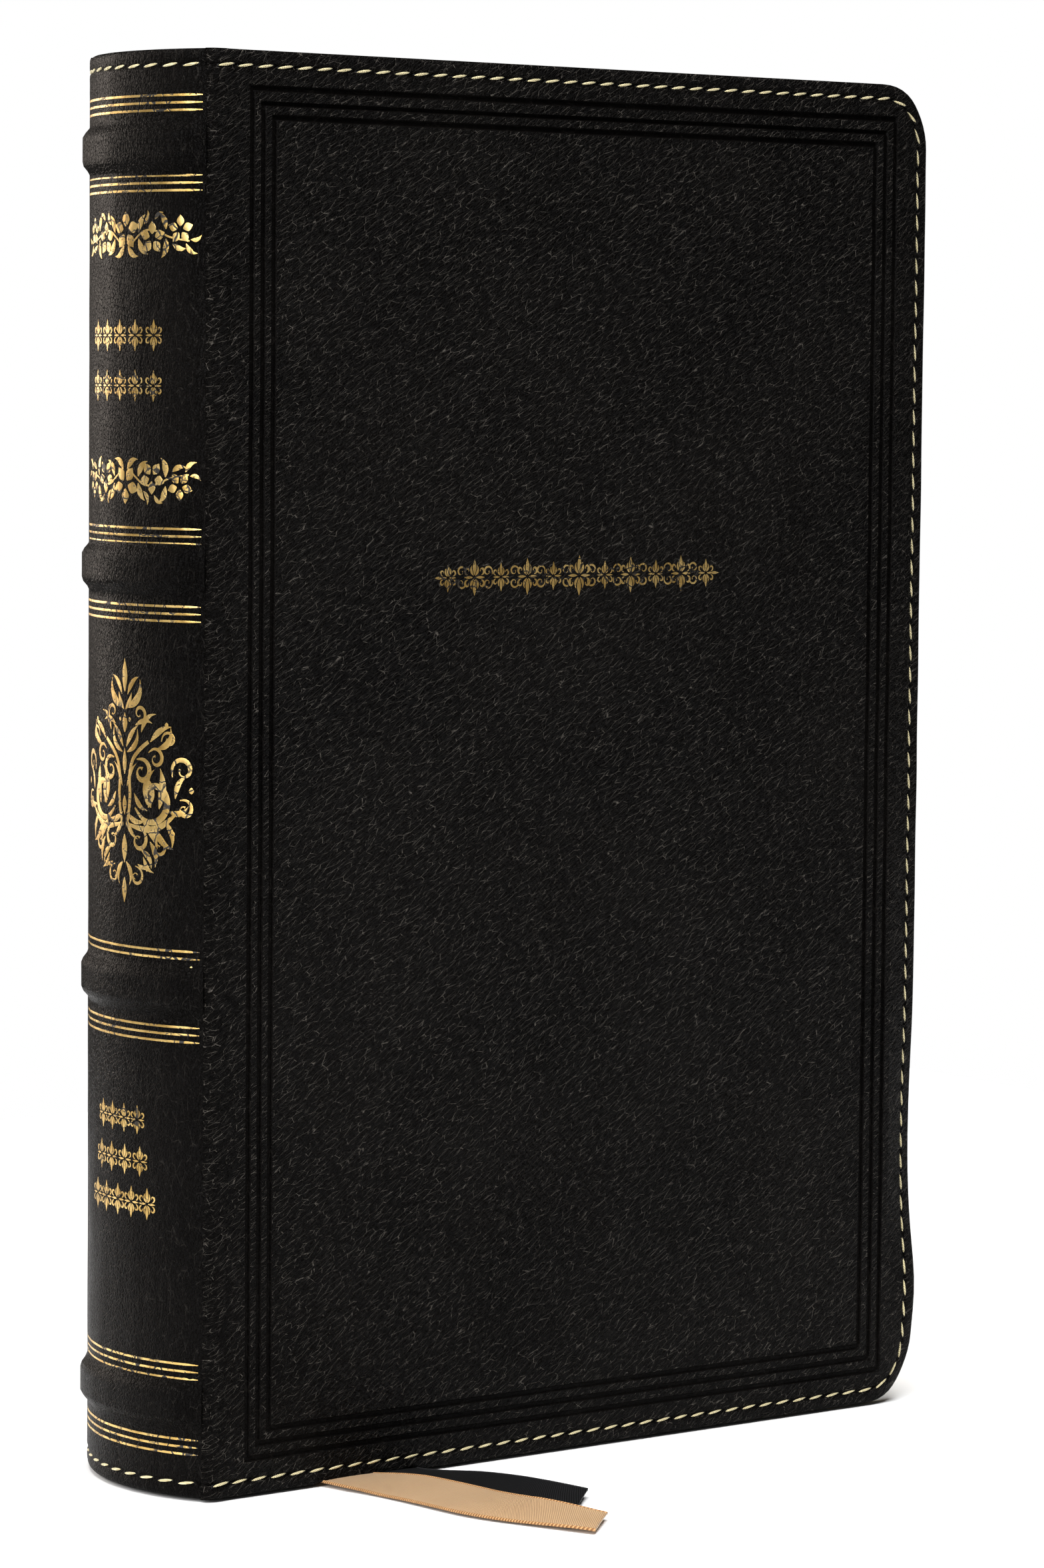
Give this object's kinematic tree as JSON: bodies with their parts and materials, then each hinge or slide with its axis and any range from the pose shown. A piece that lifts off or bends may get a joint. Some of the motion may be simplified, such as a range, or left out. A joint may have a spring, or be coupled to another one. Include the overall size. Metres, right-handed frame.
{
  "type": "bible",
  "caption": "Thick book with a ribbed round spine, sewn black leather-look covers with tooled frames, gilt-edged pages and two ribbon markers; covers and outer leaves open.",
  "frame": {"origin": "middle of the foot of the closed book, on the surface that it stands on", "axes": "+Z towards the head, +X towards the fore-edge, -Y out of the front cover"},
  "size_m": [0.1484, 0.086, 0.22],
  "materials": {
    "black_leather": "pebbled, semi-matte imitation leather",
    "grey_board": "matte binder's board",
    "cover_lining": "fine-grained matte lining",
    "cover_thread": "pale yellow waxed thread",
    "bible_paper": "thin printing paper with gilt edges",
    "end_paper": "heavier cream endpaper",
    "liner_paper": "kraft lining paper",
    "mull_cloth": "open-weave mull",
    "sewing_thread": "linen thread",
    "end_band_silk": "silk-worked end band",
    "tan_satin": "tan satin ribbon",
    "black_satin": "black satin ribbon",
    "gold_foil": "stamped gold foil, slightly crackled"
  },
  "bodies": {
    "book_block": {"gathering_01": "bible_paper", "gathering_02": "bible_paper", "gathering_03": "bible_paper", "gathering_04": "bible_paper", "gathering_05": "bible_paper", "gathering_06": "bible_paper", "gathering_07": "bible_paper", "gathering_08": "bible_paper", "gathering_09": "bible_paper", "gathering_10": "bible_paper", "gathering_11": "bible_paper", "gathering_12": "bible_paper", "gathering_13": "bible_paper", "gathering_14": "bible_paper", "gathering_15": "bible_paper", "gathering_16": "bible_paper", "sewing_thread": "sewing_thread", "mull": "mull_cloth", "spine_liner": "liner_paper", "head_band": "end_band_silk", "tail_band": "end_band_silk", "spine_stiffener": "grey_board", "raised_band_1": "grey_board", "raised_band_2": "grey_board", "raised_band_3": "grey_board", "raised_band_4": "grey_board", "spine_leather": "black_leather", "spine_stitching": "cover_thread", "tan_ribbon": "tan_satin", "black_ribbon": "black_satin"},
    "front_cover": {"front_leather": "black_leather", "front_board": "grey_board", "front_lining": "cover_lining", "front_stitching": "cover_thread"},
    "back_cover": {"back_leather": "black_leather", "back_board": "grey_board", "back_lining": "cover_lining", "back_stitching": "cover_thread"},
    "front_end_leaf": {"front_flyleaf": "end_paper"},
    "presentation_section": {"presentation_leaves": "bible_paper"},
    "title_section": {"title_leaves": "bible_paper"},
    "back_end_leaf": {"back_flyleaf": "end_paper"},
    "map_section": {"map_leaves": "bible_paper"},
    "note_section": {"note_leaves": "bible_paper"}
  },
  "joints": [
    {"name": "front_cover_hinge", "type": "hinge", "parent": "book_block", "child": "front_cover", "pos_m": [-0.06675, -0.018, 0], "axis": [0, 0, -1], "range_deg": [0, 180], "deforming": ["tan_ribbon", "black_ribbon"]},
    {"name": "front_end_leaf_turn", "type": "hinge", "parent": "book_block", "child": "front_end_leaf", "pos_m": [-0.05975, -0.01418, 0], "axis": [0, 0, -1], "range_deg": [0, 144]},
    {"name": "presentation_section_turn", "type": "hinge", "parent": "book_block", "child": "presentation_section", "pos_m": [-0.05775, -0.0136, 0], "axis": [0, 0, -1], "range_deg": [0, 126]},
    {"name": "title_section_turn", "type": "hinge", "parent": "book_block", "child": "title_section", "pos_m": [-0.05575, -0.0129, 0], "axis": [0, 0, -1], "range_deg": [0, 108]},
    {"name": "back_cover_hinge", "type": "hinge", "parent": "book_block", "child": "back_cover", "pos_m": [-0.06675, 0.018, 0], "axis": [0, 0, 1], "range_deg": [0, 180]},
    {"name": "back_end_leaf_turn", "type": "hinge", "parent": "book_block", "child": "back_end_leaf", "pos_m": [-0.05975, 0.01418, 0], "axis": [0, 0, 1], "range_deg": [0, 144]},
    {"name": "map_section_turn", "type": "hinge", "parent": "book_block", "child": "map_section", "pos_m": [-0.05775, 0.0136, 0], "axis": [0, 0, 1], "range_deg": [0, 126]},
    {"name": "note_section_turn", "type": "hinge", "parent": "book_block", "child": "note_section", "pos_m": [-0.05575, 0.0129, 0], "axis": [0, 0, 1], "range_deg": [0, 108]}
  ],
  "couplings": [
    {"joint": "front_end_leaf_turn", "follows": "front_cover_hinge", "ratio": 0.8},
    {"joint": "presentation_section_turn", "follows": "front_cover_hinge", "ratio": 0.7},
    {"joint": "title_section_turn", "follows": "front_cover_hinge", "ratio": 0.6},
    {"joint": "back_end_leaf_turn", "follows": "back_cover_hinge", "ratio": 0.8},
    {"joint": "map_section_turn", "follows": "back_cover_hinge", "ratio": 0.7},
    {"joint": "note_section_turn", "follows": "back_cover_hinge", "ratio": 0.6}
  ]
}
